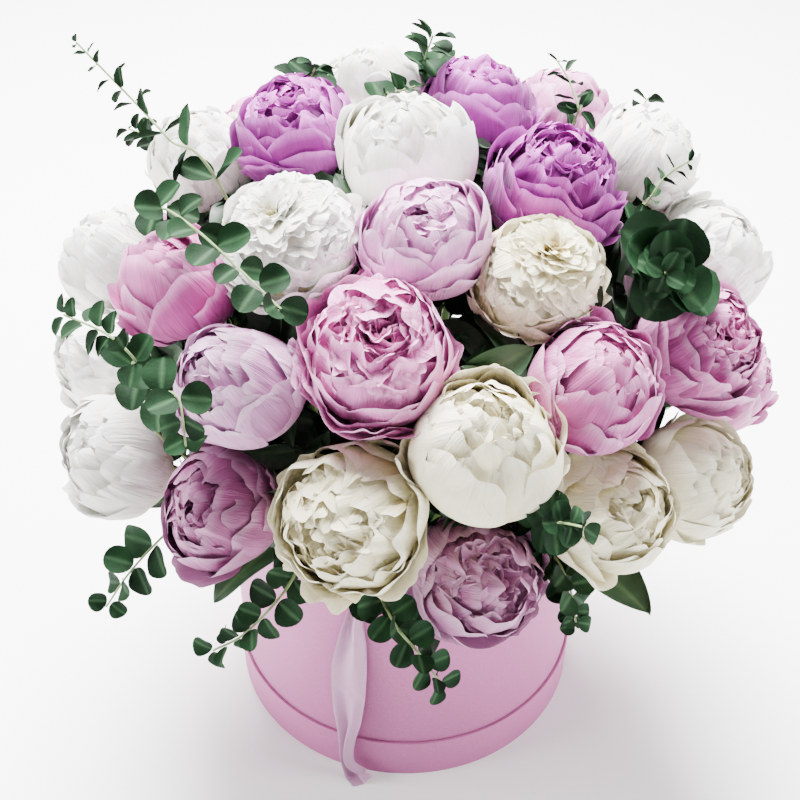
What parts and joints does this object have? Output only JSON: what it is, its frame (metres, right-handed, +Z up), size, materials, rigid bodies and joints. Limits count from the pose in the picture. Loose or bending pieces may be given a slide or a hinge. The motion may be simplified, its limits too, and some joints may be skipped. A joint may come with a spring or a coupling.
{
  "type": "flower box",
  "caption": "Round paper hat box standing in its own lid, with a lift-out foam insert holding a dome of peonies and eucalyptus sprigs, and satin ribbon tails.",
  "frame": {"origin": "centre of the flat underside of the lid, on the face that stands on the table", "axes": "+Z up through the box's axis; -Y is the front, where the ribbon tail hangs; +X to the right seen from the front"},
  "size_m": [0.4342, 0.4735, 0.479],
  "materials": {
    "box_paper": "matte",
    "eyelet": "satin",
    "ribbon": "satin",
    "liner_film": "gloss",
    "foam": "matte",
    "stem": "matte",
    "peony_leaf": "satin",
    "eucalyptus": "matte",
    "petal_white": "matte",
    "petal_cream": "matte",
    "petal_magenta": "matte",
    "petal_pink": "matte",
    "petal_blush": "matte"
  },
  "bodies": {
    "lid": {"lid_band": "box_paper", "lid_panel": "box_paper"},
    "box": {"box_wall": "box_paper", "box_base": "box_paper", "ribbon_eyelets": "eyelet", "ribbon_front": "ribbon", "ribbon_back": "ribbon"},
    "insert": {"liner": "liner_film", "foam": "foam", "flower_stems": "stem", "peony_leaves": "peony_leaf", "peony_white_1": "petal_white", "peony_white_2": "petal_white", "peony_white_3": "petal_white", "peony_white_4": "petal_white", "peony_white_5": "petal_white", "peony_white_6": "petal_white", "peony_white_7": "petal_white", "peony_white_8": "petal_white", "peony_white_9": "petal_white", "peony_white_10": "petal_white", "peony_cream_1": "petal_cream", "peony_cream_2": "petal_cream", "peony_cream_3": "petal_cream", "peony_cream_4": "petal_cream", "peony_cream_5": "petal_cream", "peony_cream_6": "petal_cream", "peony_cream_7": "petal_cream", "peony_cream_8": "petal_cream", "peony_magenta_1": "petal_magenta", "peony_magenta_2": "petal_magenta", "peony_magenta_3": "petal_magenta", "peony_magenta_4": "petal_magenta", "peony_pink_1": "petal_pink", "peony_pink_2": "petal_pink", "peony_pink_3": "petal_pink", "peony_pink_4": "petal_pink", "peony_pink_5": "petal_pink", "peony_pink_6": "petal_pink", "peony_pink_7": "petal_pink", "peony_pink_8": "petal_pink", "peony_pink_9": "petal_pink", "peony_pink_10": "petal_pink", "peony_pink_11": "petal_pink", "peony_pink_12": "petal_pink", "peony_pink_13": "petal_pink", "peony_blush_1": "petal_blush", "peony_blush_2": "petal_blush", "peony_blush_3": "petal_blush", "eucalyptus_top_left": "eucalyptus", "eucalyptus_left_high": "eucalyptus", "eucalyptus_left": "eucalyptus", "eucalyptus_low_left": "eucalyptus", "eucalyptus_front": "eucalyptus", "eucalyptus_front_right": "eucalyptus", "eucalyptus_right": "eucalyptus", "eucalyptus_top_right": "eucalyptus", "eucalyptus_top": "eucalyptus", "eucalyptus_back": "eucalyptus"}
  },
  "joints": [
    {"name": "box_lift", "type": "slide", "parent": "lid", "child": "box", "axis": [0, 0, 1], "range_m": [0, 0.045]},
    {"name": "insert_lift", "type": "slide", "parent": "box", "child": "insert", "axis": [0, 0, 1], "range_m": [0, 0.21]}
  ]
}
